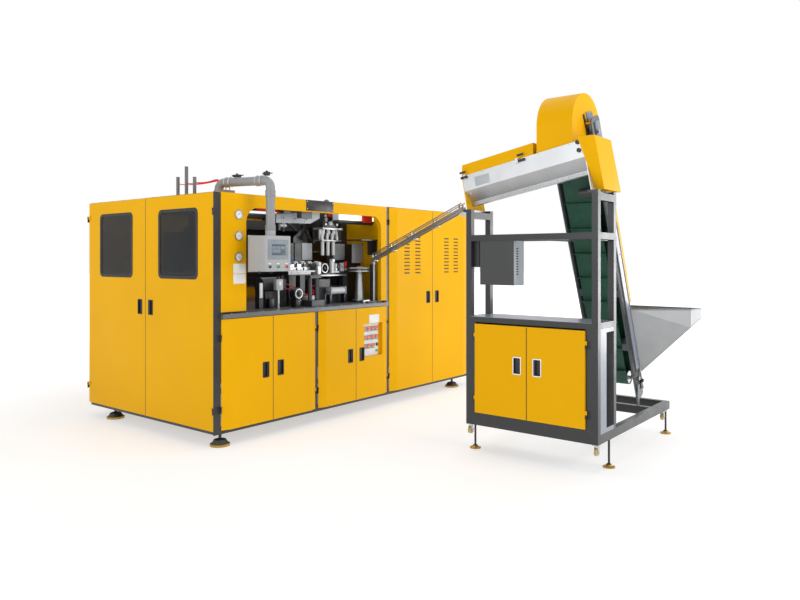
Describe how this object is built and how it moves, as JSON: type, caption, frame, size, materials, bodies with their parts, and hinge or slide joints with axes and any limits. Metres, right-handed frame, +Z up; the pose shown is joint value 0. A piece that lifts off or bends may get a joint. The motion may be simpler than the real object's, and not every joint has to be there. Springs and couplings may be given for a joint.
{
  "type": "bottle blow moulding machine",
  "caption": "Enclosed bottle blow moulding machine with an open mechanism bay, swinging operator panel and a preform loader with belt elevator, hopper and chute.",
  "frame": {"origin": "underside centre of the main cabinet's front left levelling foot, on the floor", "axes": "X along the cabinet's front to the right, Y from the front to the back, Z up"},
  "size_m": [3.6135, 4.7485, 2.6649],
  "materials": {
    "yellow_paint": "smooth semi-gloss paint",
    "dark_paint": "smooth dark grey paint",
    "black_paint": "satin black paint",
    "light_paint": "smooth light grey paint",
    "white_paint": "smooth white paint",
    "table_grey": "fine textured dark grey paint",
    "plate_grey": "smooth grey paint",
    "cabinet_grey": "fine textured grey paint",
    "drive_grey": "cast housing under grey paint",
    "gauge_steel": "polished rim",
    "platen_steel": "machined steel",
    "silver_sheet": "brushed sheet",
    "foot_gold": "yellow passivated steel",
    "black_plastic": "matte",
    "white_plastic": "matte",
    "star_plastic": "machined plastic",
    "screen_black": "glossy",
    "green_plastic": "glossy",
    "red_plastic": "glossy",
    "caster_plastic": "glossy wheels",
    "tinted_pane": "tinted clear sheet",
    "red_hose": "smooth",
    "green_belt": "matte"
  },
  "bodies": {
    "machine": {"air_hoses": "red_hose", "air_valves": "black_plastic", "aligner_trough": "silver_sheet", "arm_base": "light_paint", "bay_surround": "yellow_paint", "casters": "caster_plastic", "chute_rails": "platen_steel", "chute_stand": "black_paint", "clamp_frame": "dark_paint", "control_box": "cabinet_grey", "control_rack": "cabinet_grey", "cover_panels": "yellow_paint", "discharge_cover": "yellow_paint", "door_hinges": "black_plastic", "drive_units": "drive_grey", "elevator_belt": "green_belt", "elevator_frame": "plate_grey", "elevator_motor": "drive_grey", "head_cover": "yellow_paint", "head_frame": "black_paint", "hopper": "silver_sheet", "levelling_feet": "foot_gold", "loader_cabinet": "silver_sheet", "loader_frame": "dark_paint", "main_frame": "dark_paint", "oven_unit": "light_paint", "press_cylinders": "platen_steel", "pressure_gauges": "gauge_steel", "star_base": "white_paint", "transfer_bed": "dark_paint", "work_table": "table_grey"},
    "platen": {"moving_platen": "platen_steel"},
    "press": {"press_plate": "platen_steel"},
    "carriage": {"transfer_carriage": "platen_steel"},
    "star": {"infeed_star": "star_plastic"},
    "arm": {"swing_arm": "light_paint"},
    "panel": {"hmi_box": "light_paint", "hmi_screen": "screen_black"},
    "dark_key": {"key_dark": "black_plastic"},
    "green_key": {"key_green": "green_plastic"},
    "red_key": {"key_red": "red_plastic"},
    "front_end_door": {"end_door_front": "yellow_paint", "window_front": "tinted_pane"},
    "rear_end_door": {"end_door_rear": "yellow_paint", "window_rear": "tinted_pane"},
    "door_1": {"lower_door_1": "yellow_paint"},
    "door_2": {"lower_door_2": "yellow_paint"},
    "door_3": {"lower_door_3": "yellow_paint"},
    "door_4": {"lower_door_4": "yellow_paint", "control_panel": "white_plastic"},
    "start_button": {"panel_button": "green_plastic"},
    "left_cabinet_door": {"cabinet_door_left": "yellow_paint"},
    "right_cabinet_door": {"cabinet_door_right": "yellow_paint"},
    "left_loader_door": {"loader_door_left": "yellow_paint"},
    "right_loader_door": {"loader_door_right": "yellow_paint"},
    "upper_pulley": {"head_pulley": "platen_steel"},
    "lower_pulley": {"tail_pulley": "platen_steel"},
    "left_roller": {"aligner_roller_left": "platen_steel"},
    "right_roller": {"aligner_roller_right": "platen_steel"},
    "hood": {"trough_hood": "yellow_paint"}
  },
  "joints": [
    {"name": "platen_slide", "type": "slide", "parent": "machine", "child": "platen", "axis": [1, 0, 0], "range_m": [0, 0.06]},
    {"name": "press_lift", "type": "slide", "parent": "machine", "child": "press", "axis": [0, 0, -1], "range_m": [0, 0.05]},
    {"name": "carriage_slide", "type": "slide", "parent": "machine", "child": "carriage", "axis": [1, 0, 0], "range_m": [0, 0.3]},
    {"name": "star_turn", "type": "hinge", "parent": "machine", "child": "star", "pos_m": [1.825, 0.155, 1.372], "axis": [0, 0, 1], "continuous": true},
    {"name": "arm_swing", "type": "hinge", "parent": "machine", "child": "arm", "pos_m": [0.16, 0.225, 2.094], "axis": [0, 0, 1], "range_deg": [-30, 12]},
    {"name": "panel_swivel", "type": "hinge", "parent": "arm", "child": "panel", "pos_m": [0.29, -0.262, 1.65], "axis": [0, 0, 1], "range_deg": [-60, 60]},
    {"name": "dark_key_press", "type": "slide", "parent": "panel", "child": "dark_key", "axis": [0, 1, 0], "range_m": [0, 0.004], "stiffness_N_per_m": 300, "springref_m": -0.002},
    {"name": "green_key_press", "type": "slide", "parent": "panel", "child": "green_key", "axis": [0, 1, 0], "range_m": [0, 0.004], "stiffness_N_per_m": 300, "springref_m": -0.002},
    {"name": "red_key_press", "type": "slide", "parent": "panel", "child": "red_key", "axis": [0, 1, 0], "range_m": [0, 0.004], "stiffness_N_per_m": 300, "springref_m": -0.002},
    {"name": "front_end_door_hinge", "type": "hinge", "parent": "machine", "child": "front_end_door", "pos_m": [-0.108, -0.053, 1.06], "axis": [0, 0, 1], "range_deg": [0, 110]},
    {"name": "rear_end_door_hinge", "type": "hinge", "parent": "machine", "child": "rear_end_door", "pos_m": [-0.108, 1.833, 1.06], "axis": [0, 0, -1], "range_deg": [0, 110]},
    {"name": "door_1_hinge", "type": "hinge", "parent": "machine", "child": "door_1", "pos_m": [-0.036, -0.0605, 0.56], "axis": [0, 0, -1], "range_deg": [0, 110]},
    {"name": "door_2_hinge", "type": "hinge", "parent": "machine", "child": "door_2", "pos_m": [1, -0.0605, 0.56], "axis": [0, 0, 1], "range_deg": [0, 80]},
    {"name": "door_3_hinge", "type": "hinge", "parent": "machine", "child": "door_3", "pos_m": [1.024, -0.0605, 0.56], "axis": [0, 0, -1], "range_deg": [0, 80]},
    {"name": "door_4_hinge", "type": "hinge", "parent": "machine", "child": "door_4", "pos_m": [2.004, -0.0605, 0.56], "axis": [0, 0, 1], "range_deg": [0, 80]},
    {"name": "start_button_press", "type": "slide", "parent": "door_4", "child": "start_button", "axis": [0, 1, 0], "range_m": [0, 0.004], "stiffness_N_per_m": 300, "springref_m": -0.002},
    {"name": "left_cabinet_door_hinge", "type": "hinge", "parent": "machine", "child": "left_cabinet_door", "pos_m": [2.028, -0.0605, 1.06], "axis": [0, 0, -1], "range_deg": [0, 80]},
    {"name": "right_cabinet_door_hinge", "type": "hinge", "parent": "machine", "child": "right_cabinet_door", "pos_m": [3.476, -0.0605, 1.06], "axis": [0, 0, 1], "range_deg": [0, 110]},
    {"name": "left_loader_door_hinge", "type": "hinge", "parent": "machine", "child": "left_loader_door", "pos_m": [1.0835, -1.6715, 0.64], "axis": [0, 0, -1], "range_deg": [0, 110]},
    {"name": "right_loader_door_hinge", "type": "hinge", "parent": "machine", "child": "right_loader_door", "pos_m": [1.0835, -2.5675, 0.64], "axis": [0, 0, 1], "range_deg": [0, 110]},
    {"name": "upper_pulley_turn", "type": "hinge", "parent": "machine", "child": "upper_pulley", "pos_m": [1.4316, -2.31, 2.3949], "axis": [0, 1, 0], "continuous": true},
    {"name": "lower_pulley_turn", "type": "hinge", "parent": "machine", "child": "lower_pulley", "pos_m": [2.259, -2.31, 0.492], "axis": [0, 1, 0], "continuous": true},
    {"name": "left_roller_turn", "type": "hinge", "parent": "machine", "child": "left_roller", "pos_m": [1.214, -2.03748, 2.15765], "axis": [0, -0.9829, 0.184], "continuous": true},
    {"name": "right_roller_turn", "type": "hinge", "parent": "machine", "child": "right_roller", "pos_m": [1.282, -2.03748, 2.15765], "axis": [0, -0.9829, 0.184], "continuous": true},
    {"name": "hood_hinge", "type": "hinge", "parent": "machine", "child": "hood", "pos_m": [1.113, -1.83906, 2.17138], "axis": [0, -0.9829, 0.184], "range_deg": [0, 100]}
  ],
  "couplings": [
    {"joint": "lower_pulley_turn", "follows": "upper_pulley_turn", "ratio": 1},
    {"joint": "right_roller_turn", "follows": "left_roller_turn", "ratio": -1}
  ]
}
